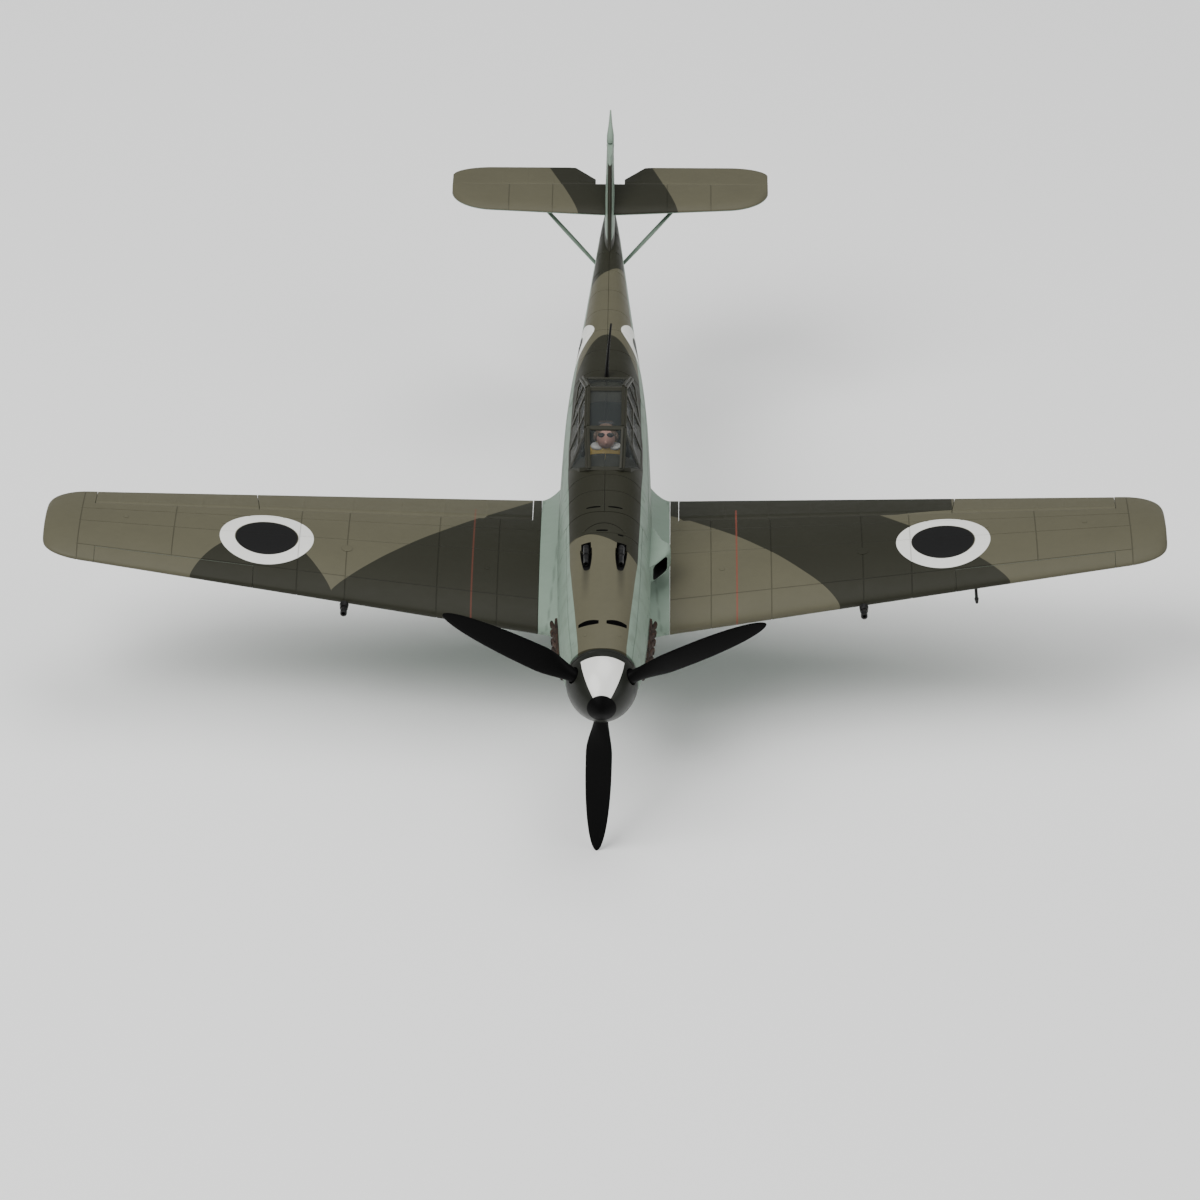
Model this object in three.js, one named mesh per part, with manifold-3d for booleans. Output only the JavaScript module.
// A display model of a single-engine low-wing fighter, 1:48, in millimetres.
// +X is the aircraft's left (port) side, +Y runs aft, +Z is up. The origin is
// under the middle of the length and the span, level with the lowest blade tip.
// Inside the aircraft group, y is the station behind the spinner tip and z is
// the height above the propeller's axis.

import * as THREE from "three";
import { mergeVertices } from "three/addons/utils/BufferGeometryUtils.js";
import Module from "manifold-3d";

const wasm = await Module();
wasm.setup();

// ---------------------------------------------------------------- dimensions

const LENGTH = 180;
const HALF_SPAN = 102.8;
const GAP = 0.3;

// Fuselage: station, top, bottom and half-width, measured from the thrust line.
const BODY = [
  [11.2, 6.3, -6.9, 6.3],
  [18.5, 7.4, -10.2, 7.3],
  [29, 8.6, -12.1, 8.0],
  [42, 9.5, -12.9, 8.4],
  [54, 10.4, -13.1, 8.6],
  [64, 11.4, -13.0, 8.6],
  [76, 11.4, -12.7, 8.4],
  [88, 12.8, -11.9, 8.0],
  [94, 13.4, -11.2, 7.7],
  [104, 12.9, -9.4, 7.0],
  [125, 11.6, -5.6, 5.0],
  [146, 10.3, -1.6, 3.2],
  [160, 9.4, 1.0, 2.0],
  [168.3, 8.8, 2.6, 1.1],
];
const BODY_WAIST = 0.44;
const BODY_UPPER_POWER = 2.6;
const BODY_LOWER_POWER = 2.2;
const COWL_SPLIT = -2;
const COWL_UPPER_END = 51;
const COWL_LOWER_END = 39;
const BELLY = { half: 4.2, start: 58, end: 82, z: -12.4, thickness: 1.1 };

// Guns on the cowl and in the wings, exhausts and coolers.
const GUN_X = 3.15;
const GUN_STATION = 38.6;
const GUN_SINK = 0.55;
const CANNON_X = 47.2;
const PITOT_X = 67.8;
const EXHAUST = { first: 19.5, pitch: 2.9, count: 6, z: -4.2 };
const RADIATOR = { inner: 24, outer: 42, front: 64.8, back: 72.4 };

// A length that reaches past the whole model, for cutting away everything on one side.
const FAR = 200;

// Propeller.
const PROP_RADIUS = 32.7;
const PROP_STATION = 7.3;
const PROP_TURN = -1.2;
const BLADE_COUNT = 3;
const BLADE_CHORD = 4.8;
const BLADE_PITCH = 26;
const BLADE_LEAN = 2.3;
const SPINNER_RADIUS = 6.45;
const SPINNER_LENGTH = 10;
const SPINNER_CAP_LENGTH = 1.5;
const SHAFT_RADIUS = 1.0;
const BEARING_RADIUS = 2.6;
const BLADE_ROOT_RADIUS = 1.25;
const BLADE_ROOT_START = 2.2;

// Wing: trapezoid with a straight line through 45 % of the chord.
const WING_ROOT_X = 12;
const WING_SPAR_STATION = 61.2;
const WING_SPAR = 0.45;
const WING_REF_X = 8.33;
const WING_REF_CHORD = 46.3;
const WING_TIP_CHORD = 21.6;
const WING_REF_Z = -9.5;
const WING_DIHEDRAL = THREE.MathUtils.degToRad(6);
const WING_THICKNESS_ROOT = 0.142;
const WING_THICKNESS_TIP = 0.114;
const WING_CAMBER = 0.02;
const TIP_ROUNDING = 7;
const FLAP_INNER_X = 13.6;
const FLAP_OUTER_X = 64;
const AILERON_INNER_X = 64.3;
const AILERON_OUTER_X = 94;
const SURFACE_HINGE = 0.8;
const SLAT_INNER_X = 64;
const SLAT_OUTER_X = 93;
const SLAT_CHORD = 0.12;

// Tail.
const FIN_ROOT_STATION = 147;
const FIN_TOP_Z = 27.2;
const FIN_THICKNESS = 0.055;
const TAIL_POST_STATION = 168.2;
const RUDDER_HINGE_STATION = 169.4;
const RUDDER_NOSE_RADIUS = 0.7;
const RUDDER_FOOT_Z = 1.4;
const TAILPLANE_Z = 14.3;
const TAILPLANE_LEADING = 154.7;
const TAILPLANE_CHORD = 18.8;
const TAILPLANE_HALF_SPAN = 30.8;
const TAILPLANE_ROOT_X = 1.5;
const ELEVATOR_HINGE_STATION = 166.4;
const ELEVATOR_NOSE_RADIUS = 0.75;

// Main landing gear, folded outwards into the wing.
const GEAR_PIVOT_X = 13.4;
const GEAR_STATION = 57;
const GEAR_LEG_LENGTH = 25.4;
const GEAR_PIVOT_RISE = 1.75;
const WHEEL_RADIUS = 6.6;
const WHEEL_WIDTH = 2.5;
const WELL_DEPTH = 4.1;
const RIM_RADIUS = 3.7;

// Tail wheel.
const TAIL_WHEEL_STATION = 152;
const TAIL_WHEEL_Z = -5.2;
const TAIL_WHEEL_RADIUS = 3;
const TAIL_WHEEL_WIDTH = 2;
const TAIL_SWIVEL_STATION = 149.6;

// Cockpit and canopy.
const CANOPY_TOP_Z = 17.2;
const CANOPY_ROOF_HALF = 3.5;
const CANOPY_FOOT_HALF = 6.9;
const CANOPY_FOOT_Z = 7.4;
const CANOPY_WALL = 0.7;
const WINDSCREEN_FOOT = 63.8;
const HOOD_START = 69;
const HOOD_END = 83.4;
const REAR_GLAZING_END = 92.8;
const COCKPIT_START = 69.6;
const COCKPIT_END = 86;
const COCKPIT_HALF = 5.2;
const COCKPIT_FLOOR_Z = -5;
const COCKPIT_WALL = 0.6;
const SEAT_STATION = 79;

// ------------------------------------------------------------------ materials

function material(color, roughness = 0.55, metalness = 0) {
  return new THREE.MeshStandardMaterial({ color, roughness, metalness });
}

const paint = {
  light: material(0x6c6858),
  dark: material(0x3a3a30),
  pale: material(0xa0b4aa),
  black: material(0x101010, 0.4),
  white: material(0xe4e4de, 0.4),
  steel: material(0x55524c, 0.4, 0.8),
  rubber: material(0x1c1c1c, 0.85),
  glass: material(0xb8c4c4, 0.1),
  interior: material(0x4c5048, 0.7),
  vest: material(0xc8a83a, 0.7),
};

// -------------------------------------------------------------- solid helpers

// Turns a closed geometry into a solid, whichever way its faces were listed.
function toSolid(geometry) {
  const bare = geometry.clone();
  bare.deleteAttribute("normal");
  bare.deleteAttribute("uv");
  const merged = mergeVertices(bare, 1e-5);
  const corners = new Uint32Array(merged.index.array);
  if (signedVolume(merged.attributes.position, corners) < 0) {
    corners.reverse();
  }
  return new wasm.Manifold(new wasm.Mesh({
    numProp: 3,
    vertProperties: new Float32Array(merged.attributes.position.array),
    triVerts: corners,
  }));
}

function signedVolume(positions, corners) {
  const [a, b, c] = [new THREE.Vector3(), new THREE.Vector3(), new THREE.Vector3()];
  let sum = 0;
  for (let i = 0; i < corners.length; i += 3) {
    a.fromBufferAttribute(positions, corners[i]);
    b.fromBufferAttribute(positions, corners[i + 1]);
    c.fromBufferAttribute(positions, corners[i + 2]);
    sum += a.dot(b.cross(c));
  }
  return sum / 6;
}

function toGeometry(solid) {
  const mesh = solid.getMesh();
  const geometry = new THREE.BufferGeometry();
  geometry.setAttribute("position", new THREE.BufferAttribute(mesh.vertProperties, 3));
  geometry.setIndex(new THREE.BufferAttribute(mesh.triVerts, 1));
  const faceted = geometry.toNonIndexed();
  faceted.computeVertexNormals();
  return faceted;
}

// Skins a list of rings with equal point counts and closes both ends.
function loft(rings) {
  const count = rings[0].length;
  const points = rings.flat();
  const faces = [];
  for (let ring = 0; ring < rings.length - 1; ring += 1) {
    for (let i = 0; i < count; i += 1) {
      const next = (i + 1) % count;
      const a = ring * count + i;
      const b = ring * count + next;
      faces.push([a, b, b + count], [a, b + count, a + count]);
    }
  }
  const last = (rings.length - 1) * count;
  const capped = [0, last].map((start) => {
    const centre = new THREE.Vector3();
    for (let i = 0; i < count; i += 1) centre.add(points[start + i]);
    return centre.divideScalar(count);
  });
  points.push(...capped);
  for (let i = 0; i < count; i += 1) {
    const next = (i + 1) % count;
    faces.push([points.length - 2, next, i]);
    faces.push([points.length - 1, last + i, last + next]);
  }
  const geometry = new THREE.BufferGeometry().setFromPoints(points);
  geometry.setIndex(faces.flat());
  return toSolid(geometry);
}

function box(x0, x1, y0, y1, z0, z1) {
  const geometry = new THREE.BoxGeometry(Math.abs(x1 - x0), y1 - y0, z1 - z0);
  geometry.translate((x0 + x1) / 2, (y0 + y1) / 2, (z0 + z1) / 2);
  return toSolid(geometry);
}

// A prism over an outline of [x, y] points, between two heights.
function planPrism(outline, z0, z1) {
  return loft([z0, z1].map((z) => outline.map(([x, y]) => new THREE.Vector3(x, y, z))));
}

// A straight round bar between two points, thinner or thicker at its far end.
function rod(from, to, radius, endRadius = radius, sides = 12) {
  const start = new THREE.Vector3(...from);
  const end = new THREE.Vector3(...to);
  const along = end.clone().sub(start);
  const geometry = new THREE.CylinderGeometry(endRadius, radius, along.length(), sides);
  const turn = new THREE.Quaternion().setFromUnitVectors(
    new THREE.Vector3(0, 1, 0),
    along.clone().normalize(),
  );
  geometry.applyQuaternion(turn);
  geometry.translate(...start.clone().add(end).multiplyScalar(0.5));
  return toSolid(geometry);
}

// A turned piece about the Y axis from a closed outline of [radius, y] points.
function turned(outline, sides = 24) {
  const geometry = new THREE.LatheGeometry(
    outline.map(([radius, y]) => new THREE.Vector2(radius, y)),
    sides,
  );
  return toSolid(geometry);
}

function unite(solids) {
  return solids.reduce((joined, solid) => joined.add(solid));
}

function named(name, solid, skin) {
  const mesh = new THREE.Mesh(toGeometry(solid), skin);
  mesh.name = name;
  return mesh;
}

// ------------------------------------------------------------------- fuselage

// Smooth value of one column of the fuselage table at a station.
function bodyValue(column, station) {
  let i = 0;
  while (i < BODY.length - 2 && station > BODY[i + 1][0]) i += 1;
  const slope = (k) => {
    const before = BODY[Math.max(k - 1, 0)];
    const after = BODY[Math.min(k + 1, BODY.length - 1)];
    return (after[column] - before[column]) / (after[0] - before[0]);
  };
  const span = BODY[i + 1][0] - BODY[i][0];
  const t = THREE.MathUtils.clamp((station - BODY[i][0]) / span, 0, 1);
  const rise = BODY[i + 1][column] - BODY[i][column];
  const ease = t * t * (3 - 2 * t);
  const lead = t * (1 - t) * (1 - t) * slope(i) * span;
  const tail = t * t * (t - 1) * slope(i + 1) * span;
  return BODY[i][column] + ease * rise + lead + tail;
}

function bodyRing(station, swell, points = 28) {
  const top = bodyValue(1, station) + swell;
  const bottom = bodyValue(2, station) - swell;
  const half = bodyValue(3, station) + swell;
  const waist = bottom + BODY_WAIST * (top - bottom);
  return Array.from({ length: points }, (_, i) => {
    const angle = (2 * Math.PI * i) / points;
    const across = Math.sin(angle);
    const up = Math.cos(angle);
    const power = 2 / (up > 0 ? BODY_UPPER_POWER : BODY_LOWER_POWER);
    const height = up > 0 ? top - waist : waist - bottom;
    return new THREE.Vector3(
      half * Math.sign(across) * Math.abs(across) ** power,
      station,
      waist + height * Math.sign(up) * Math.abs(up) ** power,
    );
  });
}

function bodySolid(swell = 0) {
  const first = BODY[0][0];
  const last = BODY[BODY.length - 1][0];
  const steps = 22;
  const rings = Array.from({ length: steps + 1 }, (_, i) => (
    bodyRing(first + ((last - first) * i) / steps, swell)
  ));
  return loft(rings);
}

const body = bodySolid();
const bodySwollen = bodySolid(GAP);

// ----------------------------------------------------------------------- wing

function wingChord(x) {
  const t = (x - WING_REF_X) / (HALF_SPAN - WING_REF_X);
  return THREE.MathUtils.lerp(WING_REF_CHORD, WING_TIP_CHORD, t);
}

function wingMidZ(x) {
  return WING_REF_Z + (x - WING_REF_X) * Math.tan(WING_DIHEDRAL);
}

function wingStation(x, fraction) {
  return WING_SPAR_STATION + (fraction - WING_SPAR) * wingChord(x);
}

// Four-digit section: half thickness as a fraction of the chord.
function sectionHalf(c, thickness) {
  const shape = 0.2969 * Math.sqrt(c) - 0.126 * c - 0.3516 * c ** 2 + 0.2843 * c ** 3 - 0.1036 * c ** 4;
  return 5 * thickness * shape;
}

function wingHeights(x, fraction) {
  const chord = wingChord(x);
  const t = (x - WING_REF_X) / (HALF_SPAN - WING_REF_X);
  const thickness = THREE.MathUtils.lerp(WING_THICKNESS_ROOT, WING_THICKNESS_TIP, t);
  const half = sectionHalf(fraction, thickness) * chord + 0.16;
  const camber = 4 * WING_CAMBER * fraction * (1 - fraction) * chord;
  const middle = wingMidZ(x) + camber;
  return { upper: middle + half, lower: middle - half, middle };
}

// Height of the wing's underside at a place in plan.
function lowerSkinAt(x, station) {
  const fraction = WING_SPAR + (station - WING_SPAR_STATION) / wingChord(x);
  return wingHeights(x, fraction).lower;
}

// Cosine-spaced places along the chord, close together at both edges.
function sectionFractions(steps) {
  return Array.from({ length: steps + 1 }, (_, i) => (
    (1 - Math.cos((Math.PI * i) / steps)) / 2
  ));
}

function wingRing(side, x, shrink = 1, swell = 1, tailStretch = 0) {
  const fractions = sectionFractions(12);
  const upper = fractions.map((c) => [c, "upper"]);
  const lower = fractions.map((c) => [c, "lower"]).reverse();
  return [...upper, ...lower].map(([c, face]) => {
    const heights = wingHeights(x, c);
    const middle = heights.middle;
    const station = wingStation(x, WING_SPAR + (c - WING_SPAR) * shrink) + tailStretch * c * c;
    return new THREE.Vector3(side * x, station, middle + (heights[face] - middle) * swell);
  });
}

function wingBlank(side) {
  const rings = [WING_ROOT_X, 30, 50, 70, 86].map((x) => wingRing(side, x));
  const tipSteps = 6;
  for (let i = 0; i <= tipSteps; i += 1) {
    const turn = (Math.PI / 2) * (i / tipSteps);
    const x = HALF_SPAN - TIP_ROUNDING * (1 - Math.sin(turn));
    const shrink = 0.3 + 0.7 * Math.cos(turn) ** 0.55;
    const swell = 0.25 + 0.75 * Math.cos(turn) ** 0.7;
    rings.push(wingRing(side, x, shrink, swell));
  }
  return loft(rings);
}

// The wing root fairing that belongs to each fuselage half.
function rootFairing(side) {
  return loft([
    wingRing(side, 5.5, 1, 1.5, 6),
    wingRing(side, 8.2, 1, 1.22, 3),
    wingRing(side, WING_ROOT_X - GAP, 1, 1, 0),
  ]);
}

// A straight-sided control surface with a round nose about its hinge line.
function controlSurface(side, innerX, outerX) {
  const rings = [innerX, (innerX + outerX) / 2, outerX].map((x) => {
    const hinge = surfaceHinge(x);
    const ring = [];
    const arcSteps = 8;
    for (let i = 0; i <= arcSteps; i += 1) {
      const angle = Math.PI / 2 + (Math.PI * i) / arcSteps;
      ring.push(new THREE.Vector3(
        side * x,
        hinge.station + hinge.radius * Math.cos(angle),
        hinge.z + hinge.radius * Math.sin(angle),
      ));
    }
    const tail = wingHeights(x, 1);
    ring.push(new THREE.Vector3(side * x, wingStation(x, 1), tail.lower));
    ring.push(new THREE.Vector3(side * x, wingStation(x, 1), tail.upper));
    return ring;
  });
  return loft(rings);
}

function surfaceHinge(x) {
  const heights = wingHeights(x, SURFACE_HINGE);
  return {
    station: wingStation(x, SURFACE_HINGE),
    z: heights.middle,
    radius: (heights.upper - heights.lower) / 2,
  };
}

// The cut in the wing that the flap and the aileron share.
function surfaceBay(side, innerX, outerX) {
  const edge = (x) => {
    const hinge = surfaceHinge(Math.abs(x));
    return hinge.station - hinge.radius - GAP;
  };
  const inner = innerX - GAP;
  const outer = outerX + GAP;
  return planPrism([
    [side * inner, edge(inner)],
    [side * outer, edge(outer)],
    [side * outer, FAR],
    [side * inner, FAR],
  ], -FAR, FAR);
}

function slatPrism(side, innerX, outerX, extra) {
  const back = (x) => wingStation(x, SLAT_CHORD) + extra;
  return planPrism([
    [side * innerX, 0],
    [side * outerX, 0],
    [side * outerX, back(outerX)],
    [side * innerX, back(innerX)],
  ], -FAR, FAR);
}

// ----------------------------------------------------------- main landing gear

// The gear's own frame: u runs outwards along the wing's underside, w is up
// from that surface, and both start at the foot of the pivot.
const gearInner = { x: GEAR_PIVOT_X, z: lowerSkinAt(GEAR_PIVOT_X, GEAR_STATION) };
const gearOuter = {
  x: GEAR_PIVOT_X + GEAR_LEG_LENGTH,
  z: lowerSkinAt(GEAR_PIVOT_X + GEAR_LEG_LENGTH, GEAR_STATION),
};
const GEAR_SLOPE = Math.atan2(gearOuter.z - gearInner.z, GEAR_LEG_LENGTH);

function gearPoint(u, w) {
  return {
    x: gearInner.x + u * Math.cos(GEAR_SLOPE) - w * Math.sin(GEAR_SLOPE),
    z: gearInner.z + u * Math.sin(GEAR_SLOPE) + w * Math.cos(GEAR_SLOPE),
  };
}

function gearRod(side, from, to, radius, sides = 16) {
  const ends = [from, to].map(([u, station, w]) => {
    const point = gearPoint(u, w);
    return [side * point.x, station, point.z];
  });
  return rod(ends[0], ends[1], radius, radius, sides);
}

// A plate in the gear's frame over an outline of [u, station] points.
function gearPlate(side, outline, w0, w1) {
  return loft([w0, w1].map((w) => outline.map(([u, station]) => {
    const point = gearPoint(u, w);
    return new THREE.Vector3(side * point.x, station, point.z);
  })));
}

function gearWell(side) {
  const wheel = gearRod(
    side,
    [GEAR_LEG_LENGTH, GEAR_STATION, -3],
    [GEAR_LEG_LENGTH, GEAR_STATION, WELL_DEPTH],
    WHEEL_RADIUS + 0.8,
    28,
  );
  const channel = gearPlate(side, [
    [-3, GEAR_STATION - 2.6],
    [GEAR_LEG_LENGTH, GEAR_STATION - 2.6],
    [GEAR_LEG_LENGTH, GEAR_STATION + 2.6],
    [-3, GEAR_STATION + 2.6],
  ], -3, WELL_DEPTH - 0.3);
  return wheel.add(channel);
}

function gearLeg(side) {
  const axis = GEAR_PIVOT_RISE;
  return unite([
    gearRod(side, [0, GEAR_STATION - 2.1, axis], [0, GEAR_STATION + 2.1, axis], 0.9),
    gearRod(side, [0, GEAR_STATION, axis], [12, GEAR_STATION, axis], 0.85),
    gearRod(side, [11, GEAR_STATION, axis], [GEAR_LEG_LENGTH - 7.6, GEAR_STATION, axis], 0.6),
    gearPlate(side, [
      [GEAR_LEG_LENGTH - 8.2, GEAR_STATION - 0.9],
      [GEAR_LEG_LENGTH - 7.4, GEAR_STATION - 0.9],
      [GEAR_LEG_LENGTH - 7.4, GEAR_STATION + 0.9],
      [GEAR_LEG_LENGTH - 8.2, GEAR_STATION + 0.9],
    ], 0.6, axis + 0.7),
    gearPlate(side, [
      [GEAR_LEG_LENGTH - 8.2, GEAR_STATION - 0.8],
      [GEAR_LEG_LENGTH + 0.8, GEAR_STATION - 0.8],
      [GEAR_LEG_LENGTH + 0.8, GEAR_STATION + 0.8],
      [GEAR_LEG_LENGTH - 8.2, GEAR_STATION + 0.8],
    ], 0.6, 0.95),
    gearRod(
      side,
      [GEAR_LEG_LENGTH, GEAR_STATION, 0.8],
      [GEAR_LEG_LENGTH, GEAR_STATION, 1.25 + WHEEL_WIDTH],
      0.4,
    ),
  ]);
}

function gearCover(side) {
  const lead = 2.1;
  const outline = [
    [2.2, GEAR_STATION - lead],
    [GEAR_LEG_LENGTH - 7.8, GEAR_STATION - lead],
    [GEAR_LEG_LENGTH - 6.4, GEAR_STATION - 1.2],
    [GEAR_LEG_LENGTH - 6.4, GEAR_STATION + 1.2],
    [GEAR_LEG_LENGTH - 7.8, GEAR_STATION + lead],
    [2.2, GEAR_STATION + lead],
  ];
  return gearPlate(side, outline, -0.15, 0.3);
}

// A turned wheel piece in the gear's frame from [radius, w] points.
function gearTurned(side, outline, sides = 20) {
  const geometry = new THREE.LatheGeometry(
    outline.map(([radius, w]) => new THREE.Vector2(radius, w)),
    sides,
  );
  geometry.rotateX(Math.PI / 2);
  geometry.rotateY(-side * GEAR_SLOPE);
  const centre = gearPoint(GEAR_LEG_LENGTH, 1.25);
  geometry.translate(side * centre.x, GEAR_STATION, centre.z);
  return toSolid(geometry);
}

function gearTyre(side) {
  const inner = RIM_RADIUS + GAP;
  return gearTurned(side, [
    [inner, 0.4],
    [inner + 0.5, 0.1],
    [WHEEL_RADIUS - 1.2, 0],
    [WHEEL_RADIUS - 0.35, 0.4],
    [WHEEL_RADIUS, 1.0],
    [WHEEL_RADIUS, WHEEL_WIDTH - 1.0],
    [WHEEL_RADIUS - 0.35, WHEEL_WIDTH - 0.4],
    [WHEEL_RADIUS - 1.2, WHEEL_WIDTH],
    [inner + 0.5, WHEEL_WIDTH - 0.1],
    [inner, WHEEL_WIDTH - 0.4],
    [inner, 0.4],
  ]);
}

function gearHub(side) {
  const bore = 0.75;
  return gearTurned(side, [
    [bore, 0.1],
    [1.5, 0.1],
    [2.0, 0.6],
    [3.0, 0.6],
    [RIM_RADIUS, 0.3],
    [RIM_RADIUS, WHEEL_WIDTH - 0.3],
    [3.0, WHEEL_WIDTH - 0.6],
    [2.0, WHEEL_WIDTH - 0.6],
    [1.5, WHEEL_WIDTH - 0.1],
    [bore, WHEEL_WIDTH - 0.1],
    [bore, 0.1],
  ], 16);
}

// -------------------------------------------------------------- wing assembly

function wingPanel(side) {
  return wingBlank(side)
    .subtract(surfaceBay(side, FLAP_INNER_X, AILERON_OUTER_X))
    .subtract(slatPrism(side, SLAT_INNER_X - GAP, SLAT_OUTER_X + GAP, GAP))
    .subtract(gearWell(side));
}

function slat(side) {
  return wingBlank(side).intersect(slatPrism(side, SLAT_INNER_X, SLAT_OUTER_X, 0));
}

function wingCannon(side) {
  const x = CANNON_X;
  const z = wingHeights(x, 0).middle - 0.1;
  const leading = wingStation(x, 0);
  return unite([
    rod([side * x, leading - 1.2, z], [side * x, leading - 2.4, z], 0.85, 0.75),
    rod([side * x, leading - 2.2, z], [side * x, leading - 3.9, z], 0.5),
    rod([side * x, leading - 3.4, z], [side * x, leading - 4.2, z], 0.62),
  ]);
}

function pitotTube() {
  const x = PITOT_X;
  const root = wingStation(x, 0.2);
  const skin = wingHeights(x, 0.2).lower;
  const z = skin - 1.1;
  return unite([
    rod([x, root + 0.3, z], [x, root - 6.2, z], 0.3, 0.3, 8),
    rod([x, root - 5.9, z], [x, root - 7.2, z], 0.42, 0.25, 8),
    rod([x, root, z - 0.2], [x, root, skin - GAP], 0.4, 0.5, 8),
  ]);
}

// A shallow under-wing cooler with a recessed mouth and a sloped back.
function radiator(side) {
  const { inner, outer, front, back } = RADIATOR;
  const depth = [1.6, 2.6, 2.5, 0.9];
  const stations = [front, front + 1.6, front + 4.6, back];
  const rings = stations.map((station, i) => {
    const edge = (x, deep) => lowerSkinAt(x, station) - 0.35 - deep;
    const chamfer = 0.6;
    return [
      [inner, 0], [outer, 0], [outer, depth[i] - chamfer],
      [outer - chamfer, depth[i]], [inner + chamfer, depth[i]], [inner, depth[i] - chamfer],
    ].map(([x, deep]) => new THREE.Vector3(side * x, station, edge(x, deep)));
  });
  const mouth = [front - 1, front + 1.5].map((station) => [
    [inner + 1, 0.35], [outer - 1, 0.35], [outer - 1, 1.15], [inner + 1, 1.15],
  ].map(([x, deep]) => new THREE.Vector3(side * x, station, lowerSkinAt(x, front) - 0.35 - deep)));
  return loft(rings).subtract(loft(mouth));
}

// ----------------------------------------------------------------- cowl pieces

function gunZ() {
  return bodyValue(1, GUN_STATION) - GUN_SINK;
}

function gunTrough(side) {
  const z = gunZ();
  return unite([
    rod([side * GUN_X, GUN_STATION + 1.2, z], [side * GUN_X, GUN_STATION - 6, z + 0.6], 1.15, 0.85),
    rod([side * GUN_X, GUN_STATION + 1, z], [side * GUN_X, GUN_STATION + 3, z], 1.0),
  ]);
}

function gunBarrel(side) {
  const z = gunZ() - 0.1;
  return rod([side * GUN_X, GUN_STATION - 3.4, z + 0.15], [side * GUN_X, GUN_STATION + 2.5, z], 0.5, 0.6);
}

function noseSlot(side) {
  const x = 2.6;
  const z = bodyValue(1, 17.4);
  return box(side * (x - 1.7), side * (x + 1.7), 17, 17.8, z - 0.9, z + 1);
}

function cowlUpper() {
  return body
    .intersect(box(-FAR, FAR, 0, COWL_UPPER_END, COWL_SPLIT + GAP / 2, FAR))
    .subtract(rod([0, 10, 0], [0, 26, 0], BEARING_RADIUS + GAP, BEARING_RADIUS + GAP, 24))
    .subtract(gunTrough(1))
    .subtract(gunTrough(-1))
    .subtract(noseSlot(1))
    .subtract(noseSlot(-1));
}

// The chin carries the oil cooler's scoop with its mouth facing forward.
function cowlLower() {
  const scoopRing = (station, half, top, bottom) => {
    const cut = 0.9;
    return [
      [-half, top], [half, top], [half, bottom + cut], [half - cut, bottom],
      [-half + cut, bottom], [-half, bottom + cut],
    ].map(([x, z]) => new THREE.Vector3(x, station, z));
  };
  const scoop = loft([
    scoopRing(20.5, 3.9, -9.3, -13.4),
    scoopRing(24, 4.3, -9.3, -14.2),
    scoopRing(31, 4.3, -9.3, -14.4),
    scoopRing(36.5, 3.8, -9.3, -13.1),
  ]);
  return body
    .intersect(box(-FAR, FAR, 0, COWL_LOWER_END, -FAR, COWL_SPLIT - GAP / 2))
    .add(scoop)
    .subtract(box(-3.1, 3.1, 19, 23.2, -12.8, -10.9))
    .subtract(rod([0, 10, 0], [0, 26, 0], BEARING_RADIUS + GAP, BEARING_RADIUS + GAP, 24));
}

// Six short stubs in a row on a backing strip, standing off the cowl's side.
function exhaustStack(side) {
  const stubs = [];
  const { first, pitch, count, z } = EXHAUST;
  const skin = (station) => bodySide(station, z) + GAP;
  for (let i = 0; i < count; i += 1) {
    const station = first + pitch * i;
    stubs.push(rod(
      [side * (skin(station) + 0.35), station, z],
      [side * (skin(station) + 1.05), station + 2.1, z - 0.3],
      0.62,
      0.55,
      8,
    ));
  }
  const stripRing = (station) => [
    [skin(station), z - 1], [skin(station), z + 1],
    [skin(station) + 0.6, z + 0.8], [skin(station) + 0.6, z - 0.8],
  ].map(([x, height]) => new THREE.Vector3(side * x, station, height));
  const stations = Array.from({ length: count + 1 }, (_, i) => first - 1 + pitch * i);
  return unite([loft(stations.map(stripRing)), ...stubs]);
}

// Largest half-width of the body between two heights about z.
function bodySide(station, z) {
  const top = bodyValue(1, station);
  const bottom = bodyValue(2, station);
  const waist = bottom + BODY_WAIST * (top - bottom);
  const upper = z > waist;
  const power = upper ? BODY_UPPER_POWER : BODY_LOWER_POWER;
  const level = Math.abs(z - waist) / (upper ? top - waist : waist - bottom);
  return bodyValue(3, station) * (1 - level ** power) ** (1 / power);
}

// Air scoop on the port side with a rounded-square mouth.
function superchargerIntake() {
  const ring = (station, out, halfHeight) => {
    const inner = 6.4;
    const cut = 0.7;
    const z = 0;
    return [
      [inner, z - halfHeight], [out - cut, z - halfHeight], [out, z - halfHeight + cut],
      [out, z + halfHeight - cut], [out - cut, z + halfHeight], [inner, z + halfHeight],
    ].map(([x, height]) => new THREE.Vector3(x, station, height));
  };
  return loft([
    ring(45.4, 11.9, 1.9),
    ring(46.4, 12.1, 2.1),
    ring(50, 11.9, 2.0),
    ring(55, 10.6, 1.7),
    ring(60, 9.2, 1.2),
  ])
    .subtract(box(9.5, 11.4, 44, 48.4, -1.3, 1.3))
    .subtract(bodySwollen);
}

// --------------------------------------------------------------- fuselage half

function cockpitOpening() {
  const half = COCKPIT_HALF + GAP;
  return box(-half, half, COCKPIT_START, COCKPIT_END, COCKPIT_FLOOR_Z - GAP, FAR);
}

function bellyPlate() {
  const { half, start, end, z, thickness } = BELLY;
  const nose = half * 0.7;
  return planPrism([
    [-half, start + nose], [-nose, start], [nose, start], [half, start + nose],
    [half, end - nose], [nose, end], [-nose, end], [-half, end - nose],
  ], z - thickness, z);
}

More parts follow.
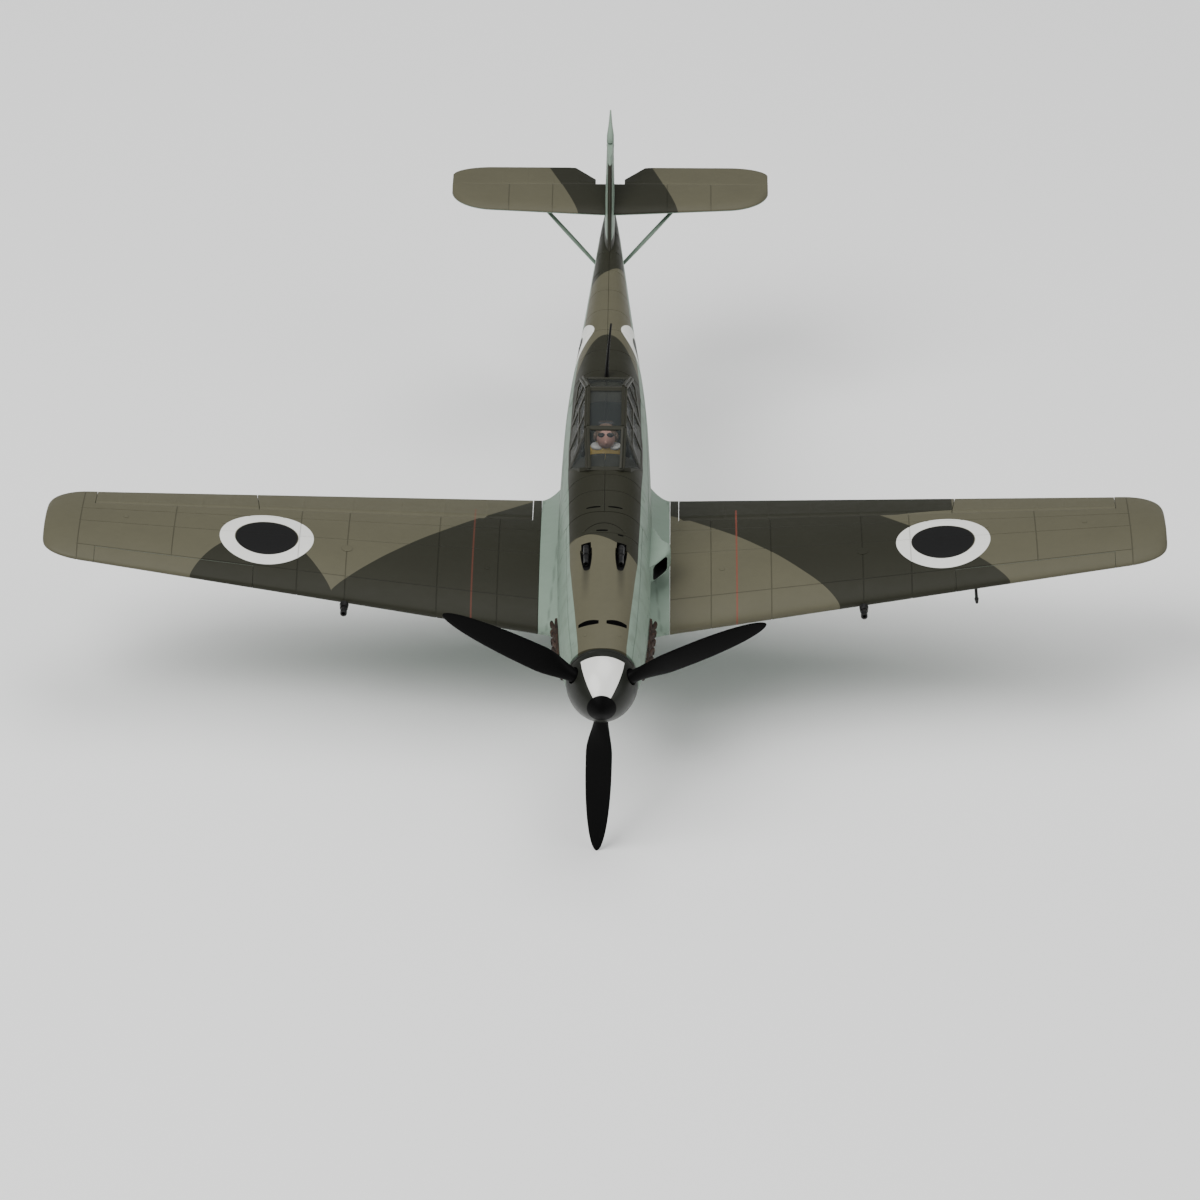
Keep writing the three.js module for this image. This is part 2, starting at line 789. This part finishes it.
function bellyRecess() {
  const { half, start, end, z } = BELLY;
  return box(-half - GAP, half + GAP, start - GAP, end + GAP, -FAR, z + GAP);
}

function fuselageHalf(side) {
  const keep = side > 0
    ? box(GAP / 2, FAR, 0, TAIL_POST_STATION, -FAR, FAR)
    : box(-FAR, -GAP / 2, 0, TAIL_POST_STATION, -FAR, FAR);
  return body
    .add(rootFairing(side))
    .intersect(keep)
    .subtract(box(-FAR, FAR, 0, COWL_UPPER_END + GAP, COWL_SPLIT - GAP / 2, FAR))
    .subtract(box(-FAR, FAR, 0, COWL_LOWER_END + GAP, -FAR, FAR))
    .subtract(cockpitOpening())
    .subtract(bellyRecess())
    .subtract(tailPocket());
}

// ---------------------------------------------------------------------- tail

// Closed section from the leading edge to a blunt end at the given station.
function bluntRing(leading, chord, thickness, end, place) {
  const reach = (end - leading) / chord;
  const steps = 9;
  const fractions = Array.from({ length: steps + 1 }, (_, i) => (
    reach * (1 - Math.cos((Math.PI * i) / (2 * steps)))
  ));
  const half = (c) => sectionHalf(c, thickness) * chord + 0.12 * Math.min(c * 10, 1);
  const up = fractions.map((c) => [c, half(c)]);
  const down = fractions.slice(1).map((c) => [c, -half(c)]).reverse();
  return [...up, ...down].map(([c, out]) => place(leading + c * chord, out));
}

function finLeading(z) {
  const t = THREE.MathUtils.clamp((z - 8) / (FIN_TOP_Z - 8), 0, 1);
  return FIN_ROOT_STATION + 3.2 * t + 15.8 * t ** 1.6;
}

function fin() {
  const heights = [null, 12.5, 16, 19.5, 22.4, 23.6];
  const rings = heights.map((height) => bluntRing(
    finLeading(height ?? 9),
    LENGTH - finLeading(height ?? 9),
    FIN_THICKNESS,
    TAIL_POST_STATION,
    (station, out) => new THREE.Vector3(
      out,
      station,
      height ?? bodyValue(1, Math.min(station, 168)) + GAP,
    ),
  ));
  return loft(rings);
}

function tailPocket() {
  return rod(
    [0, TAIL_SWIVEL_STATION, -6],
    [0, TAIL_SWIVEL_STATION, 2.2],
    0.95,
  );
}

function rudderTrailing(z) {
  const middle = 9;
  const reach = z > middle ? (z - middle) / (FIN_TOP_Z - middle) : (middle - z) / (middle - RUDDER_FOOT_Z);
  const drop = z > middle ? 6.4 : 5.2;
  return LENGTH - drop * reach ** 2.4;
}

// The rudder: round nose on its hinge line, with a horn over the fin's top.
function rudder() {
  const ring = (z, nose, scale = 1) => {
    const radius = RUDDER_NOSE_RADIUS * scale;
    const steps = 8;
    const points = [];
    for (let i = 0; i <= steps; i += 1) {
      const angle = Math.PI / 2 + (Math.PI * i) / steps;
      points.push(new THREE.Vector3(
        radius * Math.sin(angle),
        RUDDER_HINGE_STATION - nose + radius * Math.cos(angle),
        z,
      ));
    }
    points.push(new THREE.Vector3(-0.2, rudderTrailing(z), z));
    points.push(new THREE.Vector3(0.2, rudderTrailing(z), z));
    return points;
  };
  const blade = [RUDDER_FOOT_Z, 3.5, 6, 9, 13, 17, 20.5, 23.9].map((z) => ring(z, 0));
  const horn = [24.0, 25, 26.2, FIN_TOP_Z].map((z, i) => ring(z, 2.6 - 0.75 * i, 1 - 0.17 * i));
  return loft(blade).add(loft([ring(23.9, 2.9), ...horn]));
}

function tailplaneEdge(x) {
  const t = (x - TAILPLANE_ROOT_X) / (TAILPLANE_HALF_SPAN - TAILPLANE_ROOT_X);
  const round = Math.max(0, (t - 0.74) / 0.26);
  return {
    leading: TAILPLANE_LEADING + 2.6 * t + 6.2 * (1 - Math.sqrt(1 - Math.min(round, 0.995) ** 2)),
    trailing: TAILPLANE_LEADING + TAILPLANE_CHORD - 3.4 * (1 - Math.sqrt(1 - Math.min(round, 0.995) ** 2)),
  };
}

const TAIL_STEPS = [0, 0.3, 0.6, 0.74, 0.84, 0.92, 0.97, 1];

function tailplaneX(t) {
  return THREE.MathUtils.lerp(TAILPLANE_ROOT_X, TAILPLANE_HALF_SPAN, t);
}

function tailplane(side) {
  const end = ELEVATOR_HINGE_STATION - ELEVATOR_NOSE_RADIUS - GAP;
  const rings = TAIL_STEPS.map((t) => {
    const x = tailplaneX(t);
    const { leading } = tailplaneEdge(x);
    return bluntRing(leading, TAILPLANE_CHORD - 3 * t, 0.1, end, (station, out) => (
      new THREE.Vector3(side * x, station, TAILPLANE_Z + out)
    ));
  });
  return loft(rings);
}

function elevator(side) {
  const steps = [0.04, 0.18, ...TAIL_STEPS.slice(1)];
  const rings = steps.map((t) => {
    const x = tailplaneX(t);
    const inward = Math.max(0, 6.9 - x) / 5;
    const trailing = tailplaneEdge(x).trailing - 6 * inward;
    const radius = ELEVATOR_NOSE_RADIUS * (1 - 0.35 * t);
    const points = [];
    const arcSteps = 8;
    for (let i = 0; i <= arcSteps; i += 1) {
      const angle = Math.PI / 2 + (Math.PI * i) / arcSteps;
      points.push(new THREE.Vector3(
        side * x,
        ELEVATOR_HINGE_STATION + radius * Math.cos(angle),
        TAILPLANE_Z + radius * Math.sin(angle),
      ));
    }
    points.push(new THREE.Vector3(side * x, trailing, TAILPLANE_Z - 0.18));
    points.push(new THREE.Vector3(side * x, trailing, TAILPLANE_Z + 0.18));
    return points;
  });
  return loft(rings);
}

function tailStrut(side) {
  const station = 157.4;
  const foot = bodySide(station - 2.6, 3.4) + GAP + 0.2;
  const root = [side * foot, station - 2.6, 3.4];
  return rod(root, [side * 12.6, station + 2, TAILPLANE_Z - 1.35], 0.45, 0.4, 10);
}

function tailFork() {
  const half = TAIL_WHEEL_WIDTH / 2 + 0.35;
  const arm = (side) => loft([
    [TAIL_SWIVEL_STATION - 0.8, TAIL_SWIVEL_STATION + 1.1, -1.7],
    [TAIL_WHEEL_STATION - 0.8, TAIL_WHEEL_STATION + 0.7, TAIL_WHEEL_Z + 0.3],
    [TAIL_WHEEL_STATION - 0.5, TAIL_WHEEL_STATION + 0.5, TAIL_WHEEL_Z - 0.6],
  ].map(([front, back, z]) => [
    new THREE.Vector3(side * half, front, z),
    new THREE.Vector3(side * (half + 0.5), front, z),
    new THREE.Vector3(side * (half + 0.5), back, z),
    new THREE.Vector3(side * half, back, z),
  ]));
  return unite([
    box(-half - 0.5, half + 0.5, TAIL_SWIVEL_STATION - 0.8, TAIL_SWIVEL_STATION + 1.1, -2, -1.5),
    rod([0, TAIL_SWIVEL_STATION, -1.6], [0, TAIL_SWIVEL_STATION, 1.8], 0.6),
    arm(1),
    arm(-1),
    rod(
      [-half - 0.2, TAIL_WHEEL_STATION, TAIL_WHEEL_Z],
      [half + 0.2, TAIL_WHEEL_STATION, TAIL_WHEEL_Z],
      0.4,
    ),
  ]);
}

function tailWheel() {
  const half = TAIL_WHEEL_WIDTH / 2;
  const bore = 0.65;
  const geometry = new THREE.LatheGeometry([
    [bore, -half * 0.8],
    [1.4, -half * 0.8],
    [1.7, -half],
    [2.5, -half * 0.9],
    [TAIL_WHEEL_RADIUS, -half * 0.35],
    [TAIL_WHEEL_RADIUS, half * 0.35],
    [2.5, half * 0.9],
    [1.7, half],
    [1.4, half * 0.8],
    [bore, half * 0.8],
    [bore, -half * 0.8],
  ].map(([radius, y]) => new THREE.Vector2(radius, y)), 18);
  geometry.rotateZ(Math.PI / 2);
  geometry.translate(0, TAIL_WHEEL_STATION, TAIL_WHEEL_Z);
  return toSolid(geometry);
}

// ------------------------------------------------------------------- propeller

function spinnerRadius(y) {
  return SPINNER_RADIUS * (1 - (1 - y / SPINNER_LENGTH) ** 2) ** 0.72;
}

function spinnerProfile(from, to, steps) {
  const outline = [[0, to], [0, from]];
  for (let i = 0; i <= steps; i += 1) {
    const y = THREE.MathUtils.lerp(from, to, i / steps);
    if (spinnerRadius(y) > 0) outline.push([spinnerRadius(y), y]);
  }
  outline.push([0, to]);
  return outline;
}

function bladeAngles() {
  return Array.from({ length: BLADE_COUNT }, (_, i) => (
    THREE.MathUtils.degToRad(-90 + PROP_TURN + (360 / BLADE_COUNT) * i)
  ));
}

function spinner() {
  const shell = turned(spinnerProfile(SPINNER_CAP_LENGTH + 0.25, SPINNER_LENGTH, 8));
  return bladeAngles().reduce((solid, angle) => solid.subtract(rod(
    [0, PROP_STATION, 0],
    [9 * Math.cos(angle), PROP_STATION, 9 * Math.sin(angle)],
    BLADE_ROOT_RADIUS + GAP,
    BLADE_ROOT_RADIUS + GAP,
    16,
  )), shell).subtract(rod([0, 4, 0], [0, 11, 0], SHAFT_RADIUS + GAP, SHAFT_RADIUS + GAP, 16));
}

// One blade along +X: round root, then a twisted section out to a round tip.
function blade() {
  const steps = 11;
  const sides = 12;
  const rings = [];
  for (let i = 0; i <= steps; i += 1) {
    const t = i / steps;
    const reach = THREE.MathUtils.lerp(BLADE_ROOT_START, PROP_RADIUS, t ** 0.9);
    const f = reach / PROP_RADIUS;
    const swell = THREE.MathUtils.smoothstep(f, 0.18, 0.4) ** 0.8;
    const taper = Math.sqrt(1 - THREE.MathUtils.clamp((f - 0.42) / 0.58, 0, 0.992) ** 2.2);
    const chord = THREE.MathUtils.lerp(2 * BLADE_ROOT_RADIUS, BLADE_CHORD, swell) * taper;
    const thin = THREE.MathUtils.smoothstep(f, 0.12, 0.4);
    const thick = THREE.MathUtils.lerp(2 * BLADE_ROOT_RADIUS, 0.95 - 0.45 * f, thin) * Math.sqrt(taper);
    const pitch = -THREE.MathUtils.degToRad(BLADE_PITCH * (1 - f) ** 1.3);
    const lean = -BLADE_LEAN * Math.max(0, (f - 0.18) / 0.82);
    rings.push(Array.from({ length: sides }, (_, k) => {
      const angle = (2 * Math.PI * k) / sides;
      const along = (chord / 2) * Math.cos(angle) - 0.25 * swell;
      const across = (thick / 2) * Math.sin(angle);
      return new THREE.Vector3(
        reach,
        lean + along * Math.sin(pitch) + across * Math.cos(pitch),
        along * Math.cos(pitch) - across * Math.sin(pitch),
      );
    }));
  }
  return loft(rings);
}

function propellerPieces() {
  const capLength = SPINNER_CAP_LENGTH;
  const pieces = [
    named("spinner_cap", turned(spinnerProfile(0, capLength, 4)), paint.black),
    named("spinner", spinner(), paint.dark),
    named("spinner_backplate", turned([
      [SHAFT_RADIUS + GAP, SPINNER_LENGTH + GAP],
      [SPINNER_RADIUS, SPINNER_LENGTH + GAP],
      [SPINNER_RADIUS, SPINNER_LENGTH + 0.85],
      [SHAFT_RADIUS + GAP, SPINNER_LENGTH + 0.85],
      [SHAFT_RADIUS + GAP, SPINNER_LENGTH + GAP],
    ]), paint.dark),
    named("propeller_shaft", turned([
      [0, 8.2], [SHAFT_RADIUS, 8.2], [SHAFT_RADIUS, 24], [0, 24],
    ], 20), paint.steel),
  ];
  const bladeGeometry = toGeometry(blade());
  bladeAngles().forEach((angle, i) => {
    const mesh = new THREE.Mesh(bladeGeometry, paint.black);
    mesh.name = `blade_${i + 1}`;
    mesh.position.set(0, PROP_STATION, 0);
    mesh.rotation.y = -angle;
    pieces.push(mesh);
  });
  return pieces;
}

function propellerBearing() {
  return turned([
    [SHAFT_RADIUS + 0.1, 13.6],
    [BEARING_RADIUS, 13.6],
    [BEARING_RADIUS, 25.4],
    [SHAFT_RADIUS + 0.1, 25.4],
    [SHAFT_RADIUS + 0.1, 13.6],
  ], 24);
}

// --------------------------------------------------------------------- cockpit

// Canopy arch at one station: flat roof, sloped sides, open below when cut.
function canopyRing(station, roofZ, inset) {
  const slope = (CANOPY_FOOT_HALF - CANOPY_ROOF_HALF) / (CANOPY_TOP_Z - CANOPY_FOOT_Z);
  const top = roofZ - inset;
  const foot = CANOPY_FOOT_Z - 2;
  const cut = 0.5;
  const halfAt = (z) => CANOPY_FOOT_HALF - (z - CANOPY_FOOT_Z) * slope - inset;
  const shoulder = halfAt(top);
  return [
    [-halfAt(foot), foot], [-halfAt(top - cut), top - cut], [-shoulder + cut, top],
    [shoulder - cut, top], [halfAt(top - cut), top - cut], [halfAt(foot), foot],
  ].map(([x, z]) => new THREE.Vector3(x, station, z));
}

function belowCanopy() {
  return box(-FAR, FAR, 0, FAR, -FAR, CANOPY_FOOT_Z);
}

function canopyHood() {
  const outer = loft([HOOD_START + GAP, HOOD_END].map((y) => canopyRing(y, CANOPY_TOP_Z, 0)));
  const inner = loft([HOOD_START - 1, HOOD_END + 1].map((y) => canopyRing(y, CANOPY_TOP_Z, CANOPY_WALL)));
  return outer.subtract(inner).subtract(bodySwollen).subtract(belowCanopy());
}

function windscreen() {
  const shape = (inset) => {
    const arch = canopyRing(HOOD_START + (inset > 0 ? 1 : 0), CANOPY_TOP_Z, inset);
    const front = WINDSCREEN_FOOT + inset * 1.4;
    const plate = 3.2 - inset;
    const toe = [
      [-plate - 0.6, front + 1.2, 6], [-plate - 0.2, front + 0.4, 11.2 - inset],
      [-plate, front, 11.6 - inset], [plate, front, 11.6 - inset],
      [plate + 0.2, front + 0.4, 11.2 - inset], [plate + 0.6, front + 1.2, 6],
    ].map(([x, y, z]) => new THREE.Vector3(x, y, z));
    return loft([toe, arch]);
  };
  return shape(0).subtract(shape(CANOPY_WALL)).subtract(bodySwollen);
}

function rearGlazing() {
  const end = REAR_GLAZING_END;
  const outer = loft([
    canopyRing(HOOD_END + GAP, CANOPY_TOP_Z, 0),
    canopyRing(end, 13.9, 0),
  ]);
  const inner = loft([
    canopyRing(HOOD_END - 1, CANOPY_TOP_Z + 0.3, CANOPY_WALL),
    canopyRing(end - 1.2, 14.1, CANOPY_WALL),
  ]);
  return outer.subtract(inner).subtract(bodySwollen).subtract(belowCanopy());
}

function cockpitTub() {
  const wall = COCKPIT_WALL;
  const half = COCKPIT_HALF;
  const start = COCKPIT_START + GAP;
  const end = COCKPIT_END - GAP;
  const rim = 6.6;
  return box(-half, half, start, end, COCKPIT_FLOOR_Z, rim).subtract(
    box(-half + wall, half - wall, start + wall, end - wall, COCKPIT_FLOOR_Z + wall, rim + 5),
  );
}

function instrumentPanel() {
  return loft([0.95, 1.55].map((lead) => [
    [-4.1, 1.6], [4.1, 1.6], [4.1, 6.4], [2.9, 8.0], [-2.9, 8.0], [-4.1, 6.4],
  ].map(([x, z]) => new THREE.Vector3(x, COCKPIT_START + GAP + lead, z))));
}

const FLOOR_TOP = COCKPIT_FLOOR_Z + COCKPIT_WALL + GAP;

function pilotSeat() {
  return unite([
    box(-3, 3, SEAT_STATION - 3, SEAT_STATION + 3.2, FLOOR_TOP, FLOOR_TOP + 1.6),
    box(-3, 3, SEAT_STATION + 2.4, SEAT_STATION + 3.4, FLOOR_TOP, FLOOR_TOP + 9),
    box(-1.5, 1.5, SEAT_STATION + 2.4, SEAT_STATION + 3.4, FLOOR_TOP + 8.8, FLOOR_TOP + 15),
  ]);
}

function controlStick() {
  const y = SEAT_STATION - 5.4;
  return unite([
    rod([0, y, FLOOR_TOP], [0, y, FLOOR_TOP + 0.8], 0.8),
    rod([0, y, FLOOR_TOP + 0.5], [0, y + 0.4, FLOOR_TOP + 5.6], 0.35),
    rod([0, y + 0.35, FLOOR_TOP + 5.2], [0, y + 0.5, FLOOR_TOP + 6.8], 0.55),
  ]);
}

function ball(x, y, z, radius, squash = 1) {
  const geometry = new THREE.SphereGeometry(radius, 12, 8);
  geometry.scale(1, 1, squash);
  geometry.rotateX(Math.PI / 2);
  geometry.translate(x, y, z);
  return toSolid(geometry);
}

function pilotFigure() {
  const hip = FLOOR_TOP + 1.6 + GAP;
  const back = SEAT_STATION + 1;
  const oval = (z, halfX, halfY, y) => Array.from({ length: 12 }, (_, i) => {
    const angle = (2 * Math.PI * i) / 12;
    return new THREE.Vector3(halfX * Math.cos(angle), y + halfY * Math.sin(angle), z);
  });
  const torso = loft([
    oval(hip, 2.5, 1.5, back - 0.7),
    oval(hip + 3.4, 2.3, 1.3, back - 0.6),
    oval(hip + 7.4, 3.2, 1.5, back - 0.6),
    oval(hip + 9.4, 2.6, 1.3, back - 0.6),
    oval(hip + 10.4, 1.0, 0.9, back - 0.6),
  ]);
  const limbs = [1, -1].flatMap((side) => [
    rod([side * 1.4, back - 1, hip + 1.1], [side * 1.7, back - 6, hip + 1.5], 1.0, 0.9, 10),
    rod([side * 3, back - 0.6, hip + 8], [side * 3.0, back - 2.6, hip + 4.2], 0.8, 0.7, 10),
    rod([side * 3.0, back - 2.4, hip + 4.3], [side * 1.5, back - 4.6, hip + 4.4], 0.7, 0.6, 10),
  ]);
  return unite([torso, ball(0, back - 1, hip + 12.4, 2.1, 1.12), ...limbs]);
}

function antennaMast() {
  const foot = { y: 94.3, z: bodyValue(1, 94.3) + GAP };
  const ring = (x, y, z, long, wide) => Array.from({ length: 10 }, (_, i) => {
    const angle = (2 * Math.PI * i) / 10;
    return new THREE.Vector3(x + wide * Math.cos(angle), y + long * Math.sin(angle), z);
  });
  return loft([
    ring(0, foot.y, foot.z, 0.9, 0.4),
    ring(0.3, foot.y + 0.3, foot.z + 5, 0.65, 0.3),
    ring(0.8, foot.y + 0.6, foot.z + 10.6, 0.35, 0.2),
  ]);
}

// -------------------------------------------------------------------- assembly

const aircraft = new THREE.Group();
aircraft.name = "aircraft";

const sides = [["left", 1], ["right", -1]];

for (const [word, side] of sides) {
  aircraft.add(named(`fuselage_${word}`, fuselageHalf(side), paint.light));
  aircraft.add(named(`wing_${word}`, wingPanel(side), paint.light));
  aircraft.add(named(`flap_${word}`, controlSurface(side, FLAP_INNER_X, FLAP_OUTER_X), paint.light));
  aircraft.add(named(`aileron_${word}`, controlSurface(side, AILERON_INNER_X, AILERON_OUTER_X), paint.dark));
  aircraft.add(named(`slat_${word}`, slat(side), paint.light));
  aircraft.add(named(`wing_cannon_${word}`, wingCannon(side), paint.steel));
  aircraft.add(named(`radiator_${word}`, radiator(side), paint.pale));
  aircraft.add(named(`gear_leg_${word}`, gearLeg(side), paint.steel));
  aircraft.add(named(`gear_cover_${word}`, gearCover(side), paint.pale));
  aircraft.add(named(`tyre_${word}`, gearTyre(side), paint.rubber));
  aircraft.add(named(`wheel_hub_${word}`, gearHub(side), paint.steel));
  aircraft.add(named(`cowl_gun_${word}`, gunBarrel(side), paint.steel));
  aircraft.add(named(`exhaust_${word}`, exhaustStack(side), paint.steel));
  aircraft.add(named(`tailplane_${word}`, tailplane(side), paint.light));
  aircraft.add(named(`elevator_${word}`, elevator(side), paint.light));
  aircraft.add(named(`tail_strut_${word}`, tailStrut(side), paint.pale));
}

aircraft.add(named("belly_plate", bellyPlate(), paint.pale));
aircraft.add(named("cowling_upper", cowlUpper(), paint.light));
aircraft.add(named("cowling_lower", cowlLower(), paint.pale));
aircraft.add(named("propeller_bearing", propellerBearing(), paint.steel));
aircraft.add(named("supercharger_intake", superchargerIntake(), paint.pale));
aircraft.add(named("pitot_tube", pitotTube(), paint.steel));
aircraft.add(named("tail_fin", fin(), paint.dark));
aircraft.add(named("rudder", rudder(), paint.pale));
aircraft.add(named("tail_wheel_fork", tailFork(), paint.steel));
aircraft.add(named("tail_wheel", tailWheel(), paint.rubber));
aircraft.add(named("cockpit_tub", cockpitTub(), paint.interior));
aircraft.add(named("instrument_panel", instrumentPanel(), paint.black));
aircraft.add(named("pilot_seat", pilotSeat(), paint.interior));
aircraft.add(named("control_stick", controlStick(), paint.black));
aircraft.add(named("pilot_figure", pilotFigure(), paint.vest));
aircraft.add(named("windscreen", windscreen(), paint.glass));
aircraft.add(named("canopy_hood", canopyHood(), paint.glass));
aircraft.add(named("rear_glazing", rearGlazing(), paint.glass));
aircraft.add(named("antenna_mast", antennaMast(), paint.black));
propellerPieces().forEach((piece) => aircraft.add(piece));

// Stand the model so that its lowest blade tip touches z = 0.
aircraft.position.y = -LENGTH / 2;
aircraft.updateMatrixWorld(true);
aircraft.position.z = -new THREE.Box3().setFromObject(aircraft, true).min.z;

export default aircraft;
